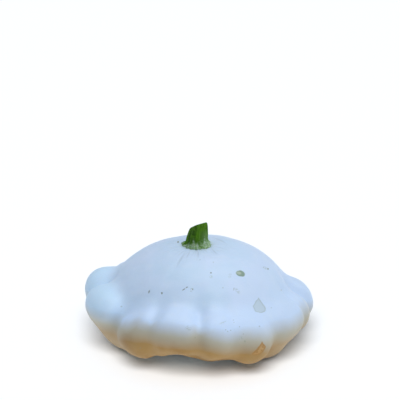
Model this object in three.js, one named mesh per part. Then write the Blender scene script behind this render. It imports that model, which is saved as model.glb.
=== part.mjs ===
// A white pattypan squash: the scalloped fruit, and the short cut stem on top of its dome.
// Millimetres, +Z up. The fruit stands on its blossom end at z = 0, round the origin; -Y is its front.
import * as THREE from 'three'
import { mergeVertices } from 'three/addons/utils/BufferGeometryUtils.js'

// The fruit's core is a dome over a bowl, both widest at the waist
const WAIST = { height: 25, radius: 58.8, x: 0.5 }
const DOME = { height: 42.6, roundness: 2.15 }
const BOWL = { depth: 28, roundness: 1.6 }

// Every lobe is a thick rib from its outer end, high up, down to its foot under the bowl
const LOBE_FOOT_DISTANCE = 52
const LOBES = [
  { at: 7, reach: 75.8, top: 35.9, endRadius: 13.4, foot: 5, footRadius: 10.2, width: 1.55 },
  { at: 33.5, reach: 74, top: 34.5, endRadius: 12.5, foot: 5, footRadius: 10.5, width: 1.4 },
  { at: 60, reach: 76, top: 36, endRadius: 12.5, foot: 6, footRadius: 11, width: 1.4 },
  { at: 86, reach: 74.5, top: 36, endRadius: 12.5, foot: 6, footRadius: 11, width: 1.4 },
  { at: 112, reach: 76, top: 37, endRadius: 12.5, foot: 5, footRadius: 11, width: 1.4 },
  { at: 141, reach: 74.5, top: 39, endRadius: 12.5, foot: 5, footRadius: 11.5, width: 1.45 },
  { at: 172.5, reach: 75.9, top: 44.6, endRadius: 11.4, foot: 3.5, footRadius: 12.8, width: 1.33 },
  { at: 198, reach: 75.3, top: 41.6, endRadius: 11.2, foot: 2.2, footRadius: 13, width: 2 },
  { at: 236.5, reach: 73, top: 35.8, endRadius: 13.6, foot: 9.6, footRadius: 12, width: 1.35 },
  { at: 255, reach: 75.3, top: 41.7, endRadius: 12.4, foot: 17, footRadius: 9.8, width: 1.75 },
  { at: 279.6, reach: 75.2, top: 39.6, endRadius: 13.4, foot: 8.1, footRadius: 12.8, width: 1.5 },
  { at: 298.8, reach: 76, top: 35.6, endRadius: 14, foot: 6.5, footRadius: 9.8, width: 1 },
  { at: 320, reach: 72.4, top: 36, endRadius: 12.2, foot: 2.4, footRadius: 14.3, width: 1.26 },
  { at: 339.2, reach: 73, top: 35.4, endRadius: 11, foot: 5.8, footRadius: 11.3, width: 1.37 },
]
const LOBE_BLEND = 2
const BODY_BLEND = 5.3

// Creases between the lobes: direction at 30 mm up, degrees it turns in each 10 mm up, depth and half width
const CREASES = [
  { at: 20.5, turn: 0, depth: 1.3, halfWidth: 5 },
  { at: 47, turn: 1, depth: 1.6, halfWidth: 5 },
  { at: 73, turn: -1, depth: 1.4, halfWidth: 5 },
  { at: 99, turn: 1, depth: 1.7, halfWidth: 5 },
  { at: 126, turn: 0, depth: 1.5, halfWidth: 5 },
  { at: 156, turn: -1, depth: 1.6, halfWidth: 5 },
  { at: 189.4, turn: -4.5, depth: 2.2, halfWidth: 5.5 },
  { at: 223, turn: 4.5, depth: 1.2, halfWidth: 5.8 },
  { at: 245.5, turn: 0.8, depth: 2, halfWidth: 4.8 },
  { at: 270, turn: 0.4, depth: 1.4, halfWidth: 4.4 },
  { at: 285.5, turn: 1.1, depth: 0.9, halfWidth: 4 },
  { at: 315.5, turn: 4, depth: 0.6, halfWidth: 4.2 },
  { at: 338.5, turn: 1.1, depth: 1.9, halfWidth: 3.7 },
  { at: 357, turn: 0, depth: 3.3, halfWidth: 4.2 },
]
const CREASE_FADE = { from: 48, to: 64 }

// The dome sinks a little round the stem, and the blossom scar is a shallow cup in the flat underside
const DIMPLE = { depth: 2, radius: 13 }
const SCAR = { radius: 7, depth: 1.2 }

// The stem: a flared foot, a five-angled neck and a slanted cut that rises to the right and the front
const STEM = { x: -1.7, y: -3, lean: 1.6, length: 13.4, gap: 0.3 }
const STEM_RIBS = { count: 5, turn: 36, depth: 0.055 }
const STEM_PROFILE = [[0, 8.9], [0.06, 8.2], [0.14, 7.55], [0.28, 7.0], [0.5, 6.8], [0.8, 6.15], [0.95, 5.6]]
// The toes with which the foot grips the dome
const STEM_TOES = [
  { at: 148, size: 0.22, halfWidth: 22 },
  { at: 305, size: 0.13, halfWidth: 24 },
  { at: 350, size: 0.1, halfWidth: 20 },
  { at: 50, size: 0.12, halfWidth: 22 },
  { at: 95, size: 0.06, halfWidth: 16 },
]
const STEM_END = { radius: 4.95, rise: 0.33, back: 0.42, dish: 0.4 }

// How finely the surfaces are stepped
const AROUND = 128
const RAY_CENTRE = 27
const STEM_AROUND = 40

const radians = THREE.MathUtils.degToRad

// The turn from one direction to another, from -180 to 180 degrees
function turnBetween(from, to) {
  return THREE.MathUtils.euclideanModulo(to - from + 180, 360) - 180
}

// About the signed distance to a rounded profile that is `wide` at z = 0 and `tall` on the axis
function profileDistance(r, z, wide, tall, roundness) {
  const u = Math.max(r / wide, 1e-6)
  const w = Math.max(Math.abs(z) / tall, 1e-6)
  const k = (u ** roundness + w ** roundness) ** (1 / roundness)
  const s = k ** (1 - roundness)
  const slope = Math.hypot((s * u ** (roundness - 1)) / wide, (s * w ** (roundness - 1)) / tall)
  return (k - 1) / slope
}

function coreDistance(x, y, z) {
  const r = Math.hypot(x - WAIST.x, y)
  const h = z - WAIST.height
  if (h > 0) return profileDistance(r, h, WAIST.radius, DOME.height, DOME.roundness)
  return profileDistance(r, h, WAIST.radius, BOWL.depth, BOWL.roundness)
}

// Distance to a rib of round section from (au, az) to (bu, bz), with radius ra at one end and rb at the other
function ribDistance(u, v, z, au, az, bu, bz, ra, rb) {
  const du = bu - au
  const dz = bz - az
  const along = THREE.MathUtils.clamp(((u - au) * du + (z - az) * dz) / (du * du + dz * dz), 0, 1)
  const radius = ra + (rb - ra) * THREE.MathUtils.smoothstep(along, 0, 1)
  return Math.hypot(u - au - along * du, v, z - az - along * dz) - radius
}

function lobeDistance(lobe, x, y, z) {
  const c = Math.cos(radians(lobe.at))
  const s = Math.sin(radians(lobe.at))
  const u = x * c + y * s
  const v = (y * c - x * s) / lobe.width
  return ribDistance(
    u, v, z,
    lobe.reach - lobe.endRadius, lobe.top - lobe.endRadius,
    LOBE_FOOT_DISTANCE, lobe.foot + lobe.footRadius,
    lobe.endRadius, lobe.footRadius,
  )
}

// How far the skin is drawn in along the creases between the lobes
function creaseDepth(x, y, z) {
  const around = THREE.MathUtils.radToDeg(Math.atan2(y, x))
  const r = Math.hypot(x, y)
  let total = 0
  for (const { at, turn, depth, halfWidth } of CREASES) {
    const away = turnBetween(at + (turn * (z - 30)) / 10, around)
    total += depth * Math.exp(-(((radians(away) * r) / halfWidth) ** 2))
  }
  return total * THREE.MathUtils.smoothstep(r, CREASE_FADE.from, CREASE_FADE.to)
}

// The least of some distances, with the corners between them rounded over `blend`
function softMin(distances, blend) {
  const least = Math.min(...distances)
  let sum = 0
  for (const d of distances) sum += Math.exp((least - d) / blend)
  return least - blend * Math.log(sum)
}

// Below zero inside the fruit
function fruitDistance(x, y, z) {
  const ring = softMin(LOBES.map((lobe) => lobeDistance(lobe, x, y, z)), LOBE_BLEND)
  const skin = softMin([coreDistance(x, y, z), ring], BODY_BLEND) + creaseDepth(x, y, z)
  const fromStem = Math.hypot(x - STEM.x, y - STEM.y)
  const sunk = z > WAIST.height ? DIMPLE.depth * Math.exp(-((fromStem / DIMPLE.radius) ** 2)) : 0
  const ball = (SCAR.radius ** 2 + SCAR.depth ** 2) / (2 * SCAR.depth)
  const cup = ball - Math.hypot(x, y, z - SCAR.depth + ball)
  return Math.max(skin + sunk, -z, cup)
}

// The distance at which a ray leaves the fruit, found by halving
function leave(from, towards, most) {
  let inside = 0
  let outside = most
  for (let i = 0; i < 40; i++) {
    const middle = (inside + outside) / 2
    const p = from.clone().addScaledVector(towards, middle)
    if (fruitDistance(p.x, p.y, p.z) < 0) inside = middle
    else outside = middle
  }
  return inside
}

// Joins two rings of points into a band; the second ring has as many points as the first, twice or half
function band(triangles, first, second) {
  const n = first.length
  const m = second.length
  const steps = Math.max(n, m)
  for (let i = 0; i < steps; i++) {
    const a = first[Math.floor((i * n) / steps)]
    const b = first[Math.floor(((i + 1) * n) / steps) % n]
    const c = second[Math.floor((i * m) / steps)]
    const d = second[Math.floor(((i + 1) * m) / steps) % m]
    if (a !== b) triangles.push(a, b, d)
    if (c !== d) triangles.push(a, d, c)
  }
}

function fan(triangles, ring, tip, outward) {
  for (let i = 0; i < ring.length; i++) {
    const next = ring[(i + 1) % ring.length]
    if (outward) triangles.push(ring[i], next, tip)
    else triangles.push(next, ring[i], tip)
  }
}

function solid(points, triangles) {
  const geometry = new THREE.BufferGeometry()
  geometry.setAttribute('position', new THREE.Float32BufferAttribute(points, 3))
  geometry.setIndex(triangles)
  return mergeVertices(geometry, 1e-5)
}

// The ray directions' angles from +Z: wide steps over the dome, narrow ones over the lobes
function ringAngles() {
  const angles = []
  for (let i = 1; i <= 13; i++) angles.push({ angle: 4.5 * i, count: AROUND })
  for (let i = 1; i <= 22; i++) angles.push({ angle: 58.5 + 3.1 * i, count: AROUND })
  for (let i = 1; i <= 3; i++) angles.push({ angle: 126.7 + 5 * i, count: AROUND })
  for (const radius of [19, 16, 12, 9, SCAR.radius, 5, 3]) {
    const angle = 180 - THREE.MathUtils.radToDeg(Math.atan(radius / RAY_CENTRE))
    angles.push({ angle, count: AROUND / 2 })
  }
  for (const ring of angles) {
    if (ring.angle < 10 || ring.angle > 168) ring.count = AROUND / 4
    else if (ring.angle < 20) ring.count = AROUND / 2
  }
  return angles
}

function makeFruit() {
  const centre = new THREE.Vector3(0, 0, RAY_CENTRE)
  const points = []
  const triangles = []
  const add = (direction) => {
    const p = centre.clone().addScaledVector(direction, leave(centre, direction, 120))
    if (Math.abs(p.z) < 1e-3) p.z = 0
    points.push(p.x, p.y, p.z)
    return points.length / 3 - 1
  }
  const top = add(new THREE.Vector3(0, 0, 1))
  const rings = ringAngles().map(({ angle, count }) => {
    const ring = []
    for (let i = 0; i < count; i++) {
      const around = (2 * Math.PI * i) / count
      ring.push(add(new THREE.Vector3().setFromSphericalCoords(1, radians(angle), around).applyAxisAngle(
        new THREE.Vector3(1, 0, 0), Math.PI / 2)))
    }
    return ring
  })
  const bottom = add(new THREE.Vector3(0, 0, -1))
  fan(triangles, rings[0], top, true)
  for (let i = 1; i < rings.length; i++) band(triangles, rings[i], rings[i - 1])
  fan(triangles, rings.at(-1), bottom, false)
  return solid(points, triangles)
}

// Height of the dome's skin over the point (x, y)
function skinHeight(x, y) {
  return WAIST.height + leave(new THREE.Vector3(x, y, WAIST.height), new THREE.Vector3(0, 0, 1), 60)
}

// The stem's radius at a share of its height, between the rows of its profile
function stemRadius(share) {
  const rows = [...STEM_PROFILE, [1, STEM_END.radius]]
  const next = rows.findIndex((row) => row[0] >= share && row[0] > 0)
  const [s0, r0] = rows[next - 1]
  const [s1, r1] = rows[next]
  return THREE.MathUtils.lerp(r0, r1, (share - s0) / (s1 - s0))
}

function makeStem() {
  const points = []
  const triangles = []
  const foot = skinHeight(STEM.x, STEM.y)
  const add = (x, y, z) => points.push(x, y, z) / 3 - 1
  const ribbed = (share, around) => {
    const wave = Math.cos(STEM_RIBS.count * (around - radians(STEM_RIBS.turn)))
    let toe = 0
    for (const { at, size, halfWidth } of STEM_TOES) {
      const away = turnBetween(at, THREE.MathUtils.radToDeg(around))
      toe += size * Math.exp(-((away / halfWidth) ** 2) - share / 0.08)
    }
    return stemRadius(share) * (1 + STEM_RIBS.depth * wave + toe)
  }
  const cutHeight = (x, y) => {
    return foot + STEM.length + STEM_END.rise * (x - STEM.x - STEM.lean) - STEM_END.back * (y - STEM.y)
  }
  const ringOf = (place) => {
    const ring = []
    for (let i = 0; i < STEM_AROUND; i++) ring.push(add(...place((2 * Math.PI * i) / STEM_AROUND)))
    return ring
  }
  const onSkin = (scale) => (around) => {
    const r = ribbed(0, around) * scale
    const x = STEM.x + r * Math.cos(around)
    const y = STEM.y + r * Math.sin(around)
    return [x, y, skinHeight(x, y) + STEM.gap]
  }
  const onSide = (share) => (around) => {
    const r = ribbed(share, around)
    const x = STEM.x + STEM.lean * share + r * Math.cos(around)
    const y = STEM.y + r * Math.sin(around)
    const low = onSkin(1)(around)[2]
    return [x, y, THREE.MathUtils.lerp(low, cutHeight(x, y), share)]
  }
  const onCut = (scale) => (around) => {
    const r = ribbed(1, around) * scale
    const x = STEM.x + STEM.lean + r * Math.cos(around)
    const y = STEM.y + r * Math.sin(around)
    return [x, y, cutHeight(x, y) - STEM_END.dish * (1 - scale)]
  }
  const shares = [0.03, 0.06, 0.1, 0.14, 0.2, 0.28, 0.38, 0.5, 0.65, 0.8, 0.9, 0.95, 1]
  const rings = [
    ...[0.25, 0.5, 0.75, 1].map((scale) => ringOf(onSkin(scale))),
    ...shares.map((share) => ringOf(onSide(share))),
    ...[0.7, 0.35].map((scale) => ringOf(onCut(scale))),
  ]
  fan(triangles, rings[0], add(STEM.x, STEM.y, foot + STEM.gap), false)
  for (let i = 1; i < rings.length; i++) band(triangles, rings[i - 1], rings[i])
  const x = STEM.x + STEM.lean
  fan(triangles, rings.at(-1), add(x, STEM.y, cutHeight(x, STEM.y) - STEM_END.dish), true)
  return solid(points, triangles)
}

function makeNode(name, geometry, color, roughness) {
  const mesh = new THREE.Mesh(geometry, new THREE.MeshStandardMaterial({ color, roughness, metalness: 0 }))
  mesh.name = name
  return mesh
}

const squash = new THREE.Group()
squash.add(makeNode('fruit', makeFruit(), 0xd3dee9, 0.5))
squash.add(makeNode('stem', makeStem(), 0x4a6c32, 0.65))
export default squash
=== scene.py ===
"""A white pattypan squash on a pale floor, in millimetres in the shape's formula and metres in Blender."""
import math
import bpy
import numpy as np
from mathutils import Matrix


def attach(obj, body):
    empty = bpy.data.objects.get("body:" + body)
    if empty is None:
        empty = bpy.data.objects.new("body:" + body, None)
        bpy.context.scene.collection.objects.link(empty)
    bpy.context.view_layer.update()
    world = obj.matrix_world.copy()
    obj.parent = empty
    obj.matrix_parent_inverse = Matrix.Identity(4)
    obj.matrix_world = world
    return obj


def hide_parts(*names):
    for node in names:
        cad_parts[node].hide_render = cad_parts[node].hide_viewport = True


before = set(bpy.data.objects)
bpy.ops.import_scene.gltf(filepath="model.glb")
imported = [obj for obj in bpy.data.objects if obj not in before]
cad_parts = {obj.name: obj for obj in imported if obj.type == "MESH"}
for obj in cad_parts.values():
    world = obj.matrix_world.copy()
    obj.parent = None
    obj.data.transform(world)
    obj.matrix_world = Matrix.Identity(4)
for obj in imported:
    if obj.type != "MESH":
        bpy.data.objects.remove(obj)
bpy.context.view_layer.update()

MM = 0.001

# The fruit's form, with the same named values as its solid
WAIST_HEIGHT, WAIST_RADIUS, WAIST_X = 25.0, 58.8, 0.5
DOME_HEIGHT, DOME_ROUNDNESS = 42.6, 2.15
BOWL_DEPTH, BOWL_ROUNDNESS = 28.0, 1.6
LOBE_FOOT_DISTANCE = 52.0
LOBES = [
    dict(at=7, reach=75.8, top=35.9, end_radius=13.4, foot=5, foot_radius=10.2, width=1.55),
    dict(at=33.5, reach=74, top=34.5, end_radius=12.5, foot=5, foot_radius=10.5, width=1.4),
    dict(at=60, reach=76, top=36, end_radius=12.5, foot=6, foot_radius=11, width=1.4),
    dict(at=86, reach=74.5, top=36, end_radius=12.5, foot=6, foot_radius=11, width=1.4),
    dict(at=112, reach=76, top=37, end_radius=12.5, foot=5, foot_radius=11, width=1.4),
    dict(at=141, reach=74.5, top=39, end_radius=12.5, foot=5, foot_radius=11.5, width=1.45),
    dict(at=172.5, reach=75.9, top=44.6, end_radius=11.4, foot=3.5, foot_radius=12.8, width=1.33),
    dict(at=198, reach=75.3, top=41.6, end_radius=11.2, foot=2.2, foot_radius=13, width=2),
    dict(at=236.5, reach=73, top=35.8, end_radius=13.6, foot=9.6, foot_radius=12, width=1.35),
    dict(at=255, reach=75.3, top=41.7, end_radius=12.4, foot=17, foot_radius=9.8, width=1.75),
    dict(at=279.6, reach=75.2, top=39.6, end_radius=13.4, foot=8.1, foot_radius=12.8, width=1.5),
    dict(at=298.8, reach=76, top=35.6, end_radius=14, foot=6.5, foot_radius=9.8, width=1),
    dict(at=320, reach=72.4, top=36, end_radius=12.2, foot=2.4, foot_radius=14.3, width=1.26),
    dict(at=339.2, reach=73, top=35.4, end_radius=11, foot=5.8, foot_radius=11.3, width=1.37),
]
# Creases between the lobes: direction at 30 mm up, degrees it turns in each 10 mm up, depth and half width
# in mm. They begin at one radius and are at full depth from the next
CREASES = [
    (20.5, 0, 1.3, 5), (47, 1, 1.6, 5), (73, -1, 1.4, 5), (99, 1, 1.7, 5), (126, 0, 1.5, 5),
    (156, -1, 1.6, 5), (189.4, -4.5, 2.2, 5.5), (223, 4.5, 1.2, 5.8), (245.5, 0.8, 2.0, 4.8),
    (270, 0.4, 1.4, 4.4), (285.5, 1.1, 0.9, 4), (315.5, 4, 0.6, 4.2), (338.5, 1.1, 1.9, 3.7),
    (357, 0, 3.3, 4.2),
]
CREASE_FROM, CREASE_TO = 48.0, 64.0
LOBE_BLEND, BODY_BLEND = 2, 5.3
DIMPLE_DEPTH, DIMPLE_RADIUS = 2, 13
SCAR_RADIUS, SCAR_DEPTH = 7.0, 1.2
STEM_X, STEM_Y, STEM_LEAN, STEM_LENGTH, STEM_GAP = -1.7, -3.0, 1.6, 13.4, 0.3
# Rays from the point on the axis at this height find the skin, by halving a length that reaches past it
RAY_CENTRE, HALVINGS = 27.0, 26
DOME_REACH, FRUIT_REACH = 60, 110

# The camera: its elevation and distance from the origin, the mm that a pixel covers there, and where the
# origin falls in the 400-pixel picture
CAMERA_ELEVATION, CAMERA_DISTANCE = math.radians(23.0), 700.0
PIXEL = 0.664
ORIGIN_AT = (199.3, 337.5)
PICTURE = 400


def camera_frame():
    """The camera's place, forward and upward directions, focal length in pixels and pitch, with no shift."""
    dip = math.asin((ORIGIN_AT[1] - PICTURE / 2) * PIXEL / CAMERA_DISTANCE)
    pitch = CAMERA_ELEVATION - dip
    eye = np.array([
        (PICTURE / 2 - ORIGIN_AT[0]) * PIXEL,
        -CAMERA_DISTANCE * math.cos(CAMERA_ELEVATION),
        CAMERA_DISTANCE * math.sin(CAMERA_ELEVATION),
    ])
    forward = np.array([0, math.cos(pitch), -math.sin(pitch)])
    upward = np.array([0, math.sin(pitch), math.cos(pitch)])
    return eye, forward, upward, CAMERA_DISTANCE / PIXEL * math.cos(dip), pitch


# The form

def smooth(share):
    return share * share * (3 - 2 * share)


def profile_distance(r, z, wide, tall, roundness):
    """About the signed distance to a rounded profile, wide at z = 0 and tall on the axis."""
    u = np.maximum(r / wide, 1e-6)
    w = np.maximum(np.abs(z) / tall, 1e-6)
    k = (u ** roundness + w ** roundness) ** (1 / roundness)
    s = k ** (1 - roundness)
    slope = np.hypot(s * u ** (roundness - 1) / wide, s * w ** (roundness - 1) / tall)
    return (k - 1) / slope


def core_distance(x, y, z):
    r = np.hypot(x - WAIST_X, y)
    h = z - WAIST_HEIGHT
    above = profile_distance(r, h, WAIST_RADIUS, DOME_HEIGHT, DOME_ROUNDNESS)
    below = profile_distance(r, h, WAIST_RADIUS, BOWL_DEPTH, BOWL_ROUNDNESS)
    return np.where(h > 0, above, below)


def lobe_distance(lobe, x, y, z):
    """Distance to a thick rib from the lobe's outer end down to its foot."""
    c, s = math.cos(math.radians(lobe["at"])), math.sin(math.radians(lobe["at"]))
    u = x * c + y * s
    v = (y * c - x * s) / lobe["width"]
    au, az = lobe["reach"] - lobe["end_radius"], lobe["top"] - lobe["end_radius"]
    du = LOBE_FOOT_DISTANCE - au
    dz = lobe["foot"] + lobe["foot_radius"] - az
    along = np.clip(((u - au) * du + (z - az) * dz) / (du * du + dz * dz), 0, 1)
    radius = lobe["end_radius"] + (lobe["foot_radius"] - lobe["end_radius"]) * smooth(along)
    return np.sqrt((u - au - along * du) ** 2 + v ** 2 + (z - az - along * dz) ** 2) - radius


def crease_depth(x, y, z):
    """How far the skin is drawn in along the creases between the lobes."""
    around = np.degrees(np.arctan2(y, x))
    r = np.hypot(x, y)
    total = 0
    for at, turn, depth, half_width in CREASES:
        away = (around - at - turn * (z - 30) / 10 + 180) % 360 - 180
        total = total + depth * np.exp(-(np.radians(away) * r / half_width) ** 2)
    return total * smooth(np.clip((r - CREASE_FROM) / (CREASE_TO - CREASE_FROM), 0, 1))


def soft_min(distances, blend):
    least = np.minimum.reduce(distances)
    return least - blend * np.log(sum(np.exp((least - d) / blend) for d in distances))


def soft_max(a, b, blend):
    return -soft_min([-a, -b], blend)


def waves(x, y, z, length, seed):
    """A smooth uneven pattern between about -1 and 1, the same each run."""
    random = np.random.default_rng(seed)
    total = 0
    for i in range(7):
        d = random.normal(size=3)
        d *= 2 * math.pi / (length * random.uniform(0.75, 1.5) * np.linalg.norm(d))
        total = total + np.sin(x * d[0] + y * d[1] + z * d[2] + random.uniform(0, 2 * math.pi))
    return total / 3.5


# Fine relief that the solid leaves out. Puckers in the skin round the stem: direction, half width in degrees
# and depth in mm. They fade out between the two radii
PUCKERS = [
    (222, 7, 0.55), (246, 5, 0.3), (268, 4, 0.5), (284, 7, 0.22), (309, 6, 0.42), (334, 8, 0.3),
    (2, 6, 0.4), (31, 7, 0.35), (58, 5, 0.45), (83, 8, 0.3), (110, 6, 0.4), (137, 7, 0.3), (166, 6, 0.45),
    (194, 7, 0.3),
]
PUCKER_FROM, PUCKER_TO = 8.5, 24.0
# Furrows on the dome: depth in mm and half width in degrees
DOME_FURROW_DEPTH, DOME_FURROW_WIDTH = 0.15, 5.5
# The skin's unevenness: height and length of the waves in mm, and the seed of their directions
SKIN_WAVES = [(0.35, 34, 3), (0.10, 11, 5)]


def puckers(x, y):
    """How far the skin is drawn in by the puckers that run out from under the stem's foot."""
    r = np.hypot(x - STEM_X, y - STEM_Y)
    around = np.degrees(np.arctan2(y - STEM_Y, x - STEM_X))
    fade = np.clip((PUCKER_TO - r) / (PUCKER_TO - PUCKER_FROM), 0, 1) ** 1.6
    total = 0
    for at, half_width, depth in PUCKERS:
        away = (around - at + 180) % 360 - 180
        total = total + depth * np.exp(-(away / half_width) ** 2)
    return total * fade


def furrows(x, y, z):
    """Faint furrows that run on up the dome from the creases between the lobes."""
    around = np.degrees(np.arctan2(y, x))
    fade = np.clip((np.hypot(x, y) - 14) / 34, 0, 1) * np.clip((z - 25) / 15, 0, 1)
    total = 0
    for at, *_ in CREASES:
        away = (around - at + 180) % 360 - 180
        total = total + np.exp(-(away / DOME_FURROW_WIDTH) ** 2)
    return DOME_FURROW_DEPTH * total * fade


def skin_distance(x, y, z, detail=True):
    """Below zero inside the fruit."""
    ring = soft_min([lobe_distance(lobe, x, y, z) for lobe in LOBES], LOBE_BLEND)
    skin = soft_min([core_distance(x, y, z), ring], BODY_BLEND) + crease_depth(x, y, z)
    from_stem = np.hypot(x - STEM_X, y - STEM_Y)
    upper = z > WAIST_HEIGHT
    skin = skin + np.where(upper, DIMPLE_DEPTH * np.exp(-(from_stem / DIMPLE_RADIUS) ** 2), 0)
    if detail:
        skin = skin + np.where(upper, puckers(x, y), 0) + furrows(x, y, z)
        for size, length, seed in SKIN_WAVES:
            skin = skin + size * waves(x, y, z, length, seed)
    ball = (SCAR_RADIUS ** 2 + SCAR_DEPTH ** 2) / (2 * SCAR_DEPTH)
    cup = ball - np.sqrt(x * x + y * y + (z - SCAR_DEPTH + ball) ** 2)
    return soft_max(soft_max(skin, -z, 0.25), cup, 0.2)


def leave(start, towards, most, detail=True):
    """Where rays leave the fruit, as distances, found by halving."""
    inside = np.zeros(towards.shape[:-1])
    outside = np.full(towards.shape[:-1], float(most))
    for _ in range(HALVINGS):
        middle = (inside + outside) / 2
        p = start + towards * middle[..., None]
        within = skin_distance(p[..., 0], p[..., 1], p[..., 2], detail) < 0
        inside = np.where(within, middle, inside)
        outside = np.where(within, outside, middle)
    return inside


def skin_height(x, y, detail=True):
    start = np.stack([x, y, np.full_like(x, WAIST_HEIGHT)], -1)
    up = np.zeros(start.shape)
    up[..., 2] = 1
    return WAIST_HEIGHT + leave(start, up, DOME_REACH, detail)


# Meshes

def mesh_object(name, points, faces):
    mesh = bpy.data.meshes.new(name)
    mesh.from_pydata((np.asarray(points) * MM).tolist(), [], faces)
    mesh.validate()
    mesh.polygons.foreach_set("use_smooth", [True] * len(mesh.polygons))
    mesh.update()
    obj = bpy.data.objects.new(name, mesh)
    bpy.context.scene.collection.objects.link(obj)
    return obj


def ring_faces(rows, around, flip=False):
    """Quads between the rows of a grid of points that closes round on itself."""
    i, j = np.meshgrid(np.arange(rows - 1) * around, np.arange(around), indexing="ij")
    k = (j + 1) % around
    quads = np.stack([i + j, i + around + j, i + around + k, i + k], -1).reshape(-1, 4)
    if flip:
        quads = quads[:, ::-1]
    return quads.tolist()


def cap_faces(first, around, tip, flip=False):
    """Triangles from a row of points, given by its first, to one point in the middle."""
    faces = []
    for j in range(around):
        k = (j + 1) % around
        faces.append((first + k, first + j, tip) if flip else (first + j, first + k, tip))
    return faces


# The fruit's points: how many in a ring, and the rings, as degrees down from the top, from, to and how many
FRUIT_AROUND = 448
FRUIT_RINGS = [(1.2, 58, 48), (58.75, 138, 106), (139, 179, 38)]


def make_fruit():
    """The whole fruit, found along rays from a point on its axis; the rings are closer over the lobes."""
    angles = np.concatenate([np.linspace(*ring) for ring in FRUIT_RINGS])
    turns = np.arange(FRUIT_AROUND) * 2 * math.pi / FRUIT_AROUND
    polar, around = np.meshgrid(np.radians(angles), turns, indexing="ij")
    towards = np.stack([np.sin(polar) * np.cos(around), np.sin(polar) * np.sin(around), np.cos(polar)], -1)
    towards = np.concatenate([towards.reshape(-1, 3), [[0, 0, 1], [0, 0, -1]]])
    centre = np.array([0, 0, RAY_CENTRE])
    points = centre + towards * leave(centre, towards, FRUIT_REACH)[:, None]
    points[:, 2] = np.maximum(points[:, 2], 0)
    n = len(angles)
    faces = ring_faces(n, FRUIT_AROUND)
    faces += cap_faces(0, FRUIT_AROUND, n * FRUIT_AROUND)
    faces += cap_faces((n - 1) * FRUIT_AROUND, FRUIT_AROUND, n * FRUIT_AROUND + 1, flip=True)
    return mesh_object("squash_fruit", points, faces)


# The stem: shares of its height with the radii there, how far the cut end slants to the right and the back
# and is dished, and the ribs: how many, the direction of one and their height as a share of the radius
STEM_PROFILE = [
    (0, 8.9), (0.06, 8.2), (0.14, 7.55), (0.28, 7.0), (0.5, 6.8), (0.8, 6.15), (0.95, 5.6), (1, 4.95),
]
STEM_END_RISE, STEM_END_BACK, STEM_END_DISH = 0.33, 0.42, 0.4
STEM_RIBS, STEM_RIB_TURN, STEM_RIB_DEPTH = 5, 36, 0.055
# The toes with which the foot grips the dome: direction, share by which they reach out, half width
STEM_TOES = [(148, 0.22, 22), (305, 0.13, 24), (350, 0.10, 20), (50, 0.12, 22), (95, 0.06, 16)]
# The stem's points: how many in a row, and the rows, as shares of its height, from, to and how many
STEM_AROUND = 320
STEM_ROWS = [(0.012, 0.2, 26), (0.215, 0.93, 60), (0.94, 1, 10)]


def stem_radius(share, around):
    shares, radii = zip(*STEM_PROFILE)
    wave = np.cos(STEM_RIBS * (around - math.radians(STEM_RIB_TURN)))
    toe = 0
    for at, size, half_width in STEM_TOES:
        away = (np.degrees(around) - at + 180) % 360 - 180
        toe = toe + size * np.exp(-(away / half_width) ** 2 - share / 0.08)
    fine = 0.016 * np.cos(3 * STEM_RIBS * around + 1.1) + 0.011 * np.cos(29 * around + 0.6)
    fine = fine + 0.008 * np.cos(47 * around + 2.4 + 3 * share)
    ragged = 0.014 * np.exp(-share / 0.05) * (np.cos(13 * around + 0.4) + np.cos(22 * around + 2.0))
    return np.interp(share, shares, radii) * (1 + STEM_RIB_DEPTH * wave + toe + fine + ragged)


def make_stem():
    around = np.arange(STEM_AROUND) * 2 * math.pi / STEM_AROUND
    foot = skin_height(np.array([STEM_X]), np.array([STEM_Y]), False)[0]
    top_x = STEM_X + STEM_LEAN

    def cut_height(x, y):
        return foot + STEM_LENGTH + STEM_END_RISE * (x - top_x) - STEM_END_BACK * (y - STEM_Y)

    rows = []
    for scale in np.linspace(0.1, 1, 10):
        r = stem_radius(0, around) * scale
        x, y = STEM_X + r * np.cos(around), STEM_Y + r * np.sin(around)
        rows.append(np.stack([x, y, skin_height(x, y) + STEM_GAP * (1 - 0.6 * scale)], -1))
    low = rows[-1][:, 2]
    for share in np.concatenate([np.linspace(*part) for part in STEM_ROWS]):
        r = stem_radius(share, around)
        x, y = STEM_X + STEM_LEAN * share + r * np.cos(around), STEM_Y + r * np.sin(around)
        rows.append(np.stack([x, y, low + (cut_height(x, y) - low) * share], -1))
    for scale in (0.97, 0.9, 0.8, 0.68, 0.55, 0.4, 0.25, 0.1):
        r = stem_radius(1, around) * scale
        x, y = top_x + r * np.cos(around), STEM_Y + r * np.sin(around)
        pith = 0.25 * np.exp(-((scale - 0.62) / 0.12) ** 2) - STEM_END_DISH * (1 - scale)
        rows.append(np.stack([x, y, cut_height(x, y) + pith], -1))
    n = len(rows)
    tips = [[STEM_X, STEM_Y, foot + STEM_GAP], [top_x, STEM_Y, cut_height(top_x, STEM_Y) - STEM_END_DISH]]
    points = np.concatenate([np.concatenate(rows), tips])
    faces = ring_faces(n, STEM_AROUND, flip=True)
    faces += cap_faces(0, STEM_AROUND, n * STEM_AROUND, flip=True)
    faces += cap_faces((n - 1) * STEM_AROUND, STEM_AROUND, n * STEM_AROUND + 1)
    return mesh_object("squash_stem", points, faces)


# Materials

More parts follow.
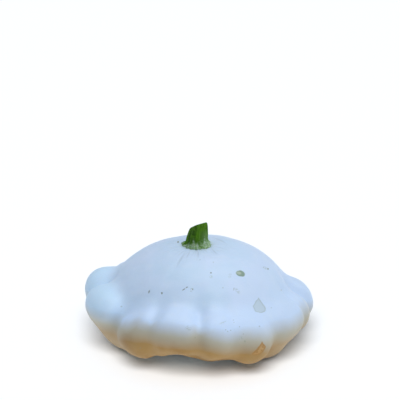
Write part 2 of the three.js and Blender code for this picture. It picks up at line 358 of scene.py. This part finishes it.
class Nodes:
    """Short names for the nodes that the materials use."""

    def __init__(self, name):
        self.material = bpy.data.materials.new(name)
        self.material.use_nodes = True
        self.tree = self.material.node_tree
        self.shader = self.tree.nodes["Principled BSDF"]
        self.place = self.add("ShaderNodeTexCoord").outputs["Object"]

    def add(self, kind, **settings):
        node = self.tree.nodes.new(kind)
        for key, value in settings.items():
            setattr(node, key, value)
        return node

    def put(self, socket, value):
        if hasattr(value, "is_output"):
            self.tree.links.new(value, socket)
        else:
            socket.default_value = value

    def math(self, operation, a, b=0.0, clamp=False):
        node = self.add("ShaderNodeMath", operation=operation, use_clamp=clamp)
        self.put(node.inputs[0], a)
        self.put(node.inputs[1], b)
        return node.outputs[0]

    def vector(self, operation, a, b=(0, 0, 0)):
        node = self.add("ShaderNodeVectorMath", operation=operation)
        self.put(node.inputs[0], a)
        self.put(node.inputs[1], b)
        return node.outputs["Value"] if operation in ("DOT_PRODUCT", "LENGTH") else node.outputs["Vector"]

    def scaled(self, a, scale):
        node = self.add("ShaderNodeVectorMath", operation="SCALE")
        self.put(node.inputs[0], a)
        node.inputs["Scale"].default_value = scale
        return node.outputs["Vector"]

    def times(self, a, b):
        return self.math("MULTIPLY", a, b)

    def part(self, vector, axis):
        """One part, X, Y or Z, of a vector."""
        node = self.add("ShaderNodeSeparateXYZ")
        self.put(node.inputs[0], vector)
        return node.outputs[axis]

    def noise(self, scale, detail=3.0, roughness=0.5, place=None, output="Fac"):
        node = self.add("ShaderNodeTexNoise")
        self.put(node.inputs["Vector"], self.place if place is None else place)
        node.inputs["Scale"].default_value = scale
        node.inputs["Detail"].default_value = detail
        node.inputs["Roughness"].default_value = roughness
        return node.outputs[output]

    def between(self, value, low, high, smooth=True):
        """0 below low and 1 above high, or the other way round if low is the larger."""
        node = self.add("ShaderNodeMapRange", interpolation_type="SMOOTHSTEP" if smooth else "LINEAR")
        self.put(node.inputs["Value"], value)
        node.inputs["From Min"].default_value = low
        node.inputs["From Max"].default_value = high
        return node.outputs["Result"]

    def mix(self, share, a, b):
        """The colour a where the share is 0 and b where it is 1."""
        node = self.add("ShaderNodeMix", data_type="RGBA")
        self.put(node.inputs["Factor"], share)
        self.put(node.inputs[6], a)
        self.put(node.inputs[7], b)
        return node.outputs[2]

    def lay(self, base, tint, mask, share):
        """The base with a tint over it, as strongly as the share says, where the mask is 1."""
        return self.mix(self.times(mask, share), base, tint)

    def bump(self, height, strength, distance):
        node = self.add("ShaderNodeBump")
        self.put(node.inputs["Height"], height)
        node.inputs["Strength"].default_value = strength
        node.inputs["Distance"].default_value = distance
        return node.outputs["Normal"]


def colour(*shown):
    """A linear colour from the red, green and blue values of 0 to 255 that a picture shows."""
    shares = [value / 255 for value in shown]
    return tuple(((c + 0.055) / 1.055) ** 2.4 if c > 0.04 else c / 12.92 for c in shares) + (1.0,)


def seen_at(px, py):
    """The point of the skin, in mm, that the camera sees at a pixel."""
    eye, forward, upward, focal, _ = camera_frame()
    d = forward + np.array([1.0, 0, 0]) * (px - PICTURE / 2) / focal + upward * (PICTURE / 2 - py) / focal
    d = d / np.linalg.norm(d)
    t = CAMERA_DISTANCE - 140
    for _ in range(400):
        p = eye + d * t
        gap = float(skin_distance(p[0], p[1], p[2], False))
        if gap < 0.01:
            break
        t += max(gap * 0.7, 0.005)
    return eye + d * t


def tangents(px, py):
    """The skin's point at a pixel, and the steps on the skin that go one pixel to the right and one down."""
    across = (seen_at(px + 2, py) - seen_at(px - 2, py)) / 4
    down = (seen_at(px, py + 2) - seen_at(px, py - 2)) / 4
    return seen_at(px, py), across, down


# How deep under the skin, in mm, ovals and patches reach, so that they stay on the side that is seen
OVAL_DEPTH, PATCH_DEPTH = 6.0, 8.0


def mark(nodes, place, px, py, half_width, half_height, turn, edge):
    """1 inside an oval mark on the skin, centred where the camera sees the pixel, and 0 outside it."""
    centre, across, down = tangents(px, py)
    c, s = math.cos(math.radians(turn)), math.sin(math.radians(turn))
    u = (across * c + down * s) * half_width
    v = (down * c - across * s) * half_height
    through = np.cross(u, v)
    through = through / np.linalg.norm(through) * OVAL_DEPTH
    rows = np.linalg.inv(np.stack([u, v, through], -1) * MM)
    local = nodes.vector("SUBTRACT", place, tuple(centre * MM))
    join = nodes.add("ShaderNodeCombineXYZ")
    for i in range(3):
        nodes.put(join.inputs[i], nodes.vector("DOT_PRODUCT", local, tuple(rows[i])))
    return nodes.between(nodes.vector("LENGTH", join.outputs[0]), 1 + edge / 2, 1 - edge / 2)


def depth_in(nodes, place, corners):
    """How many pixels a point lies within a convex patch, with its corners clockwise in the picture."""
    mx, my = np.mean(corners, 0)
    centre, across, down = tangents(mx, my)
    through = np.cross(across, down)
    rows = np.linalg.inv(np.stack([across, down, through / np.linalg.norm(through)], -1) * MM)
    local = nodes.vector("SUBTRACT", place, tuple(centre * MM))
    off_skin = nodes.math("ABSOLUTE", nodes.vector("DOT_PRODUCT", local, tuple(rows[2])))
    least = nodes.math("SUBTRACT", PATCH_DEPTH, off_skin)
    for (ax, ay), (bx, by) in zip(corners, corners[1:] + corners[:1]):
        long = math.hypot(bx - ax, by - ay)
        inward = ((ay - by) / long, (bx - ax) / long)
        row = rows[0] * inward[0] + rows[1] * inward[1]
        offset = (mx - ax) * inward[0] + (my - ay) * inward[1]
        within = nodes.math("ADD", nodes.vector("DOT_PRODUCT", local, tuple(row)), offset)
        least = nodes.math("MINIMUM", least, within)
    return least


# Small dark ticks and dots, as the camera sees them: pixel, half width, half height, turn in degrees
TICKS = [
    (149, 292, 0.7, 1.7, 20), (161.8, 293.2, 1.0, 0.9, 0), (183.5, 289.3, 0.5, 1.9, 52),
    (186.6, 287.2, 0.5, 1.2, 55), (211, 272.5, 0.8, 0.7, 0), (178.2, 241.8, 0.8, 0.8, 0),
    (268.4, 268.6, 0.9, 0.7, 30), (192.4, 289.0, 0.6, 0.7, 40),
]
FAINT_TICKS = [
    (121.3, 306.2, 0.9, 0.7, 0), (233.8, 289.3, 0.6, 1.6, 15), (264.2, 266.9, 0.7, 0.6, 0),
    (259.3, 326.4, 0.7, 0.7, 0), (230.6, 330.6, 0.8, 0.7, 0), (227.5, 331.5, 0.5, 0.9, -40),
    (225.8, 329.8, 0.6, 0.8, 30), (239.5, 326.5, 0.6, 0.6, 0), (233.4, 320.0, 0.5, 0.5, 0),
    (195.0, 337.4, 0.6, 0.6, 0), (140.2, 348.2, 0.7, 0.5, 0), (223.0, 287.5, 0.6, 0.6, 0),
    (234.0, 322.5, 0.5, 0.6, 0), (243.5, 334.0, 0.6, 0.6, 0), (281.5, 290.0, 0.9, 0.7, 0),
    (200.0, 259.5, 0.5, 0.5, 0), (213.5, 262.0, 0.5, 0.5, 0), (245.0, 341.5, 0.8, 1.0, 10),
    (191.0, 291.0, 0.9, 0.5, 0), (271.5, 308.0, 0.6, 0.5, 0),
]
# Fine furrows that run out from the stem's foot, painted darker as shade along them: pixel, half width, half
# height, turn in degrees
FURROW_SHADE_MARKS = [
    (181.0, 258.5, 1.0, 7.5, 32), (198.2, 253.4, 0.7, 3.0, 0), (188.2, 254.0, 0.5, 3.4, 28),
    (214.0, 250.8, 0.6, 3.6, -43), (219.5, 240.6, 0.6, 6.5, -68),
]
# The corners of the teardrop-shaped scar and of the tan scuff
TEARDROP = [
    (258.2, 297.3), (262.4, 303.0), (265.9, 308.4), (264.4, 312.0), (259.5, 313.3), (254.6, 312.0),
    (252.9, 306.6), (255.6, 301.6),
]
SCUFF = [
    (262.9, 342.5), (266.7, 347.5), (263.3, 352.5), (258.6, 355.3), (253.2, 356.0), (252.3, 353.9),
    (257.4, 348.3),
]
# The corky spot and its paler middle, and paler grey-green smudges, in the same way
CORKY_SPOT, CORKY_SPOT_MIDDLE = (240.6, 273.6, 4.6, 2.9, 14), (238.9, 273.2, 2.4, 1.4, 14)
SMUDGES = [
    (229.8, 275.6, 2.0, 2.0, 20), (237.5, 291.0, 1.6, 3.4, -38), (266.0, 267.8, 3.2, 1.3, 20),
    (191.8, 288.8, 1.6, 1.6, 0), (188.4, 328.2, 2.6, 2.2, 0), (211.0, 276.5, 1.6, 1.4, 0),
    (240.0, 338.0, 3.0, 2.0, 10), (224.0, 322.5, 3.4, 1.2, -15),
]

# How far, in metres, the marks' edges wander
MARK_SHAKE = 0.0011

# The skin's whites. The lobes' crowns, outside these radii in metres, are bluer, most so on the given side:
# painted cool light and highlight
DOME_WHITE, DOME_COOL = colour(199, 217, 243), colour(190, 214, 239)
CROWN_WHITE, CROWN_PAINTED_COOL_LIGHT, BLOOM = colour(195, 217, 246), colour(194, 222, 247), colour(204, 220, 241)
CROWN_FROM, CROWN_TO = 0.052, 0.063
PAINTED_COOL_LIGHT_SIDE = 187
# The skin is duller on the right, from one distance in metres to the next
DULL, DULL_FROM, DULL_TO = colour(192, 211, 235), 0.015, 0.055
STIPPLE = colour(160, 180, 196)
# Painted warm reflected light and shade on the lower skin: a tan that comes in with depth, between these
# heights in metres, on skin that no longer faces upward, through a painted shade grey. It is strongest
# towards the given side. Towards some directions, given with the width in cosines, it comes in higher or
# lower
PAINTED_SHADE_GREY, PAINTED_WARM_BOUNCE, PAINTED_WARM_BOUNCE_DEEP = colour(179, 176, 160), colour(163, 129, 72), colour(153, 116, 58)
BOUNCE_FROM, BOUNCE_TO, BOUNCE_LEAST = 0.0343, 0.0177, 0.86
BOUNCE_FACING_FROM, BOUNCE_FACING_TO = 0.78, 0.0
BOUNCE_SIDE = 270
BOUNCE_SHIFTS = [(254, 0.85, 0.96, 0.0050), (318, 0.88, 0.98, -0.0020), (8, 0.93, 0.985, -0.0080)]
# The middle of the underside, inside this radius in metres, is paler
BELLY, BELLY_FROM, BELLY_TO = colour(225, 225, 216), 0.058, 0.040
# The marks and what lies round the stem
STEM_RING, STREAK_AND_FURROW_SHADE = colour(170, 190, 184), colour(132, 150, 160)
SMUDGE, TICK, FAINT_TICK = colour(140, 158, 146), colour(104, 110, 84), colour(124, 136, 122)
TEAR, TEAR_RIM = colour(174, 191, 196), colour(134, 150, 142)
CORKY, CORKY_MIDDLE = colour(116, 140, 112), colour(176, 190, 176)
SCUFFED, SCUFFED_WORN = colour(190, 150, 92), colour(150, 108, 56)
BLOSSOM_SCAR, BLOSSOM_SCAR_MIDDLE = colour(150, 122, 84), colour(104, 80, 54)

# The stem's greens, its foot's and those of its cut end
STEM_DARK, STEM_MID, STEM_LIGHT = colour(44, 81, 6), colour(66, 112, 6), colour(100, 142, 54)
STEM_BRIGHT, STEM_BLEACHED = colour(78, 124, 16), colour(106, 140, 80)
FOOT_GREEN, FOOT_GREY, FOOT_KNOT = colour(128, 162, 112), colour(172, 196, 170), colour(120, 146, 70)
CUT_PITH, CUT_BUFF, CUT_DARK = colour(196, 188, 140), colour(138, 140, 84), colour(112, 108, 62)


def level_direction(at):
    """The level direction at an angle in degrees."""
    return math.cos(math.radians(at)), math.sin(math.radians(at)), 0


def union(nodes, masks):
    """1 where any of the masks is."""
    total = masks[0]
    for m in masks[1:]:
        total = nodes.math("MAXIMUM", total, m)
    return total


def skin_material():
    n = Nodes("squash_skin")
    place = n.place
    facing = n.part(n.add("ShaderNodeNewGeometry").outputs["Normal"], "Z")
    height = n.part(place, "Z")
    outward = n.vector("MULTIPLY", place, (1, 1, 0))
    radius = n.vector("LENGTH", outward)
    side = n.vector("NORMALIZE", outward)
    shake = n.vector("SUBTRACT", n.noise(420, 2.0, output="Color"), (0.5, 0.5, 0.5))
    shaken = n.vector("ADD", place, n.scaled(shake, MARK_SHAKE))

    def on_side(at, low, high):
        """1 on the skin that lies towards a direction, with its width in cosines."""
        return n.between(n.vector("DOT_PRODUCT", side, level_direction(at)), low, high)

    # The waxy white, uneven on two scales, with a fine stipple
    dome_white = n.mix(n.between(n.noise(34, 3), 0.35, 0.7), DOME_WHITE, DOME_COOL)
    # Painted cool light: the lobes' crowns bluer, most so on one side
    crown_with_painted_cool_light = n.mix(on_side(PAINTED_COOL_LIGHT_SIDE, 0.75, 0.95), CROWN_WHITE, CROWN_PAINTED_COOL_LIGHT)
    base = n.mix(n.between(radius, CROWN_FROM, CROWN_TO), dome_white, crown_with_painted_cool_light)
    base = n.lay(base, DULL, n.between(n.part(place, "X"), DULL_FROM, DULL_TO), 0.5)
    base = n.lay(base, BLOOM, n.between(n.noise(150, 4, 0.6), 0.5, 0.75), 0.35)
    base = n.lay(base, STIPPLE, n.between(n.noise(1500, 2, 0.7), 0.56, 0.72), 0.14)

    # Painted warm reflected light and shade: the underside turns through grey to a creamy tan, more so on
    # the front lobes
    wobble = n.math("SUBTRACT", n.noise(45, 3), 0.5)
    turned = n.math("ADD", facing, n.times(wobble, 0.35))
    turned = n.between(turned, BOUNCE_FACING_FROM, BOUNCE_FACING_TO, smooth=False)
    share = n.math("ADD", n.times(on_side(BOUNCE_SIDE, 0.6, 0.9), 1 - BOUNCE_LEAST), BOUNCE_LEAST)
    depth = n.math("ADD", height, n.times(wobble, 0.006))
    for at, low, high, rise in BOUNCE_SHIFTS:
        depth = n.math("SUBTRACT", depth, n.times(on_side(at, low, high), rise))
    sunk = n.between(depth, BOUNCE_FROM, BOUNCE_TO, smooth=False)
    under = n.times(n.math("MINIMUM", turned, sunk), share)
    warm_bounce = n.mix(n.between(n.noise(60, 4, 0.6), 0.4, 0.7), PAINTED_WARM_BOUNCE, PAINTED_WARM_BOUNCE_DEEP)
    base = n.mix(n.between(under, 0.0, 0.5, smooth=False), base, PAINTED_SHADE_GREY)
    base = n.mix(n.between(under, 0.5, 1.0, smooth=False), base, warm_bounce)
    middle = n.between(n.math("ADD", radius, n.times(wobble, 0.02)), BELLY_FROM, BELLY_TO)
    base = n.mix(n.times(middle, n.between(facing, -0.1, -0.4)), base, BELLY)

    # A pale green ring close to the stem's foot, faint streaks that run out from it, and painted shade along
    # the fine furrows
    from_stem = n.vector("SUBTRACT", place, (STEM_X * MM, STEM_Y * MM, 0))
    from_stem = n.vector("MULTIPLY", from_stem, (1, 1, 0))
    away = n.vector("LENGTH", from_stem)
    above = n.between(height, 0.045, 0.055)
    ring = n.times(n.between(away, 0.0120, 0.0088), above)
    around = n.scaled(n.vector("NORMALIZE", from_stem), 3.0)
    streak = n.noise(6.5, 2, 0.6, n.vector("ADD", around, n.scaled(from_stem, 14.0)))
    streaks = n.times(n.between(streak, 0.52, 0.66), n.between(away, 0.030, 0.009))
    streaks = n.times(streaks, above)
    streaks_and_furrow_shade = union(n, [streaks] + [mark(n, place, *furrow, edge=1.4) for furrow in FURROW_SHADE_MARKS])
    base = n.lay(base, STEM_RING, ring, 0.45)
    base = n.lay(base, STREAK_AND_FURROW_SHADE, streaks_and_furrow_shade, 0.24)

    # Marks
    ticks = union(n, [mark(n, shaken, *tick, edge=0.8) for tick in TICKS])
    faint = union(n, [mark(n, shaken, *tick, edge=1.0) for tick in FAINT_TICKS])
    smudges = union(n, [mark(n, shaken, *smudge, edge=1.2) for smudge in SMUDGES])
    speckle = n.between(n.noise(1100, 2, 0.6), 0.42, 0.6)
    base = n.lay(base, SMUDGE, n.times(smudges, speckle), 0.4)
    tear_depth = depth_in(n, shaken, TEARDROP)
    tear = n.between(tear_depth, -0.4, 0.5)
    base = n.lay(base, TEAR, tear, 0.55)
    base = n.lay(base, TEAR_RIM, n.times(tear, n.between(tear_depth, 1.5, 0.3)), 0.32)
    corky = mark(n, shaken, *CORKY_SPOT, edge=0.3)
    base = n.lay(base, CORKY, corky, 0.85)
    base = n.lay(base, CORKY_MIDDLE, mark(n, shaken, *CORKY_SPOT_MIDDLE, edge=0.9), 0.85)
    scuff_depth = depth_in(n, shaken, SCUFF)
    scuff = n.between(scuff_depth, -0.4, 0.5)
    worn = n.between(n.noise(480, 3, 0.6), 0.48, 0.62)
    worn = n.math("ADD", n.between(scuff_depth, 2.4, 0.4), worn, clamp=True)
    base = n.lay(base, SCUFFED, scuff, 0.8)
    base = n.lay(base, SCUFFED_WORN, n.times(scuff, worn), 0.6)
    base = n.lay(base, FAINT_TICK, faint, 0.4)
    base = n.lay(base, TICK, ticks, 0.7)

    # The blossom scar under the fruit: a corky brown disc with a darker middle
    from_axis = n.vector("LENGTH", n.vector("MULTIPLY", shaken, (1, 1, 0)))
    low = n.between(height, 0.004, 0.002)
    scar = n.times(n.between(from_axis, 0.0074, 0.0062), low)
    base = n.lay(base, BLOSSOM_SCAR, scar, 0.9)
    base = n.lay(base, BLOSSOM_SCAR_MIDDLE, n.times(n.between(from_axis, 0.0030, 0.0022), low), 0.8)
    n.put(n.shader.inputs["Base Color"], base)

    rough = n.math("ADD", 0.42, n.times(n.noise(120, 3), 0.14))
    rough = n.math("ADD", rough, n.times(union(n, [scuff, corky, scar]), 0.3), clamp=True)
    n.put(n.shader.inputs["Roughness"], rough)
    n.shader.inputs["Specular IOR Level"].default_value = 0.38
    n.shader.inputs["Subsurface Weight"].default_value = 0.08
    n.shader.inputs["Subsurface Radius"].default_value = (1.0, 0.75, 0.5)
    n.shader.inputs["Subsurface Scale"].default_value = 0.002

    relief = n.times(n.noise(260, 3, 0.55), 0.5)
    fine = n.noise(1400, 2, 0.6)
    for mask, rise in [(fine, 0.12), (ticks, -0.7), (corky, 0.8), (scuff, -0.6), (streaks_and_furrow_shade, -0.5)]:
        relief = n.math("ADD", relief, n.times(mask, rise))
    n.put(n.shader.inputs["Normal"], n.bump(relief, 0.55, 0.0003))
    return n.material


def stem_material():
    n = Nodes("squash_stem")
    place = n.vector("SUBTRACT", n.place, (STEM_X * MM, STEM_Y * MM, 0.065))
    across = n.part(place, "X")
    up = n.part(place, "Z")
    drawn_out = n.vector("MULTIPLY", place, (1, 1, 0.12))
    streak = n.noise(900, 3, 0.6, drawn_out)
    broad = n.noise(330, 2, 0.5, drawn_out)
    base = n.mix(n.between(broad, 0.38, 0.62), STEM_DARK, STEM_MID)
    base = n.lay(base, STEM_LIGHT, n.between(streak, 0.52, 0.72), 0.6)
    bright = n.times(n.between(n.noise(260, 2), 0.5, 0.62), n.between(up, 0.004, 0.010))
    base = n.lay(base, STEM_BRIGHT, bright, 0.6)

    # One side is bleached below the cut end
    bleached = n.times(n.between(across, 0.0012, 0.0062), n.between(up, 0.0135, 0.008))
    base = n.lay(base, STEM_BLEACHED, bleached, 0.7)

    # The foot is paler, more so on that side, a bluish grey-green in blotches, with yellower knots
    uneven = n.times(n.math("SUBTRACT", n.noise(420, 3, 0.6), 0.5), 0.007)
    ragged = n.times(n.math("SUBTRACT", broad, 0.5), 0.016)
    ragged = n.math("SUBTRACT", ragged, n.times(across, 0.28))
    foot = n.between(n.math("ADD", n.math("ADD", up, uneven), ragged), 0.0054, 0.0010)
    pale = n.mix(n.between(n.noise(700, 3, 0.6), 0.42, 0.6), FOOT_GREEN, FOOT_GREY)
    base = n.lay(base, pale, foot, 0.85)
    knots = n.times(n.between(n.noise(520, 2, 0.5), 0.62, 0.7), foot)
    base = n.lay(base, FOOT_KNOT, knots, 0.6)

    # The cut end is dry and buff, with darker bundles round a pale pith
    cut_normal = (-STEM_END_RISE, STEM_END_BACK, 1)
    long = math.sqrt(sum(c * c for c in cut_normal))
    normal = n.add("ShaderNodeNewGeometry").outputs["Normal"]
    facing = n.vector("DOT_PRODUCT", normal, tuple(c / long for c in cut_normal))
    cut = n.times(n.between(facing, 0.9, 0.97), n.between(up, 0.008, 0.010))
    from_pith = n.vector("SUBTRACT", place, (STEM_LEAN * MM, 0, 0))
    from_pith = n.vector("LENGTH", n.vector("MULTIPLY", from_pith, (1, 1, 0)))
    rings = n.mix(n.between(from_pith, 0.0022, 0.0034), CUT_PITH, CUT_BUFF)
    rings = n.lay(rings, CUT_DARK, n.between(n.noise(900, 2), 0.5, 0.65), 0.5)
    base = n.mix(cut, base, rings)
    n.put(n.shader.inputs["Base Color"], base)
    n.put(n.shader.inputs["Roughness"], n.math("ADD", 0.55, n.times(streak, 0.25)))
    n.shader.inputs["Specular IOR Level"].default_value = 0.15
    n.shader.inputs["Subsurface Weight"].default_value = 0.06
    n.shader.inputs["Subsurface Radius"].default_value = (0.4, 1.0, 0.2)
    n.shader.inputs["Subsurface Scale"].default_value = 0.001
    relief = n.math("ADD", streak, n.times(n.noise(1500, 2), 0.4))
    n.put(n.shader.inputs["Normal"], n.bump(relief, 0.7, 0.0004))
    return n.material


def floor_material():
    n = Nodes("floor")
    n.put(n.shader.inputs["Base Color"], (0.875, 0.925, 0.99, 1))
    n.shader.inputs["Roughness"].default_value = 0.9
    n.shader.inputs["Specular IOR Level"].default_value = 0.1
    return n.material


# The object

fruit = make_fruit()
fruit.data.materials.append(skin_material())
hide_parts("fruit")
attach(fruit, "root")

stem = make_stem()
stem.data.materials.append(stem_material())
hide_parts("stem")
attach(stem, "root")

# The floor, the lights and the camera

# Half the floor's width in metres, and the lights' tints
FLOOR_HALF = 40
COOL_LIGHT, WARM_LIGHT = (0.98, 0.99, 1.0), (1.0, 0.953, 0.905)

floor_corners = [(sx * FLOOR_HALF, sy * FLOOR_HALF, 0) for sx, sy in ((-1, -1), (1, -1), (1, 1), (-1, 1))]
floor_mesh = bpy.data.meshes.new("floor")
floor_mesh.from_pydata(floor_corners, [], [(0, 1, 2, 3)])
floor = bpy.data.objects.new("floor", floor_mesh)
bpy.context.scene.collection.objects.link(floor)
floor.data.materials.append(floor_material())


def sun(name, towards, strength, spread, tint, lit):
    """A soft light from far off, shining from the given direction on the given objects."""
    data = bpy.data.lights.new(name, "SUN")
    data.energy = strength
    data.angle = math.radians(spread)
    data.color = tint
    light = bpy.data.objects.new(name, data)
    bpy.context.scene.collection.objects.link(light)
    yaw = math.atan2(towards[0], -towards[1])
    tilt = math.acos(towards[2] / math.hypot(*towards))
    light.rotation_euler = (tilt, 0, yaw)
    group = bpy.data.collections.new(name + "_lights")
    for obj in lit:
        group.objects.link(obj)
    light.light_linking.receiver_collection = group


sun("key", (0.15, 0.14, 1.0), 1.82, 45, COOL_LIGHT, [fruit, stem])
sun("fill", (1.0, -0.8, 0.30), 0.58, 60, COOL_LIGHT, [fruit, stem])
sun("floor_light", (-0.06, -0.97, 1.1), 3.28, 38, WARM_LIGHT, [floor])

world = bpy.data.worlds.new("world")
world.use_nodes = True
background = world.node_tree.nodes["Background"]
background.inputs["Color"].default_value = (0.92, 0.96, 1.0, 1)
background.inputs["Strength"].default_value = 0.40
bpy.context.scene.world = world
bpy.context.scene.view_settings.view_transform = "Standard"

eye, _, _, focal, pitch = camera_frame()
camera_data = bpy.data.cameras.new("camera")
camera_data.sensor_width = 36
camera_data.lens = focal / PICTURE * 36
camera_data.clip_end = 100
camera = bpy.data.objects.new("camera", camera_data)
bpy.context.scene.collection.objects.link(camera)
camera.location = tuple(eye * MM)
camera.rotation_euler = (math.pi / 2 - pitch, 0, 0)
bpy.context.scene.camera = camera
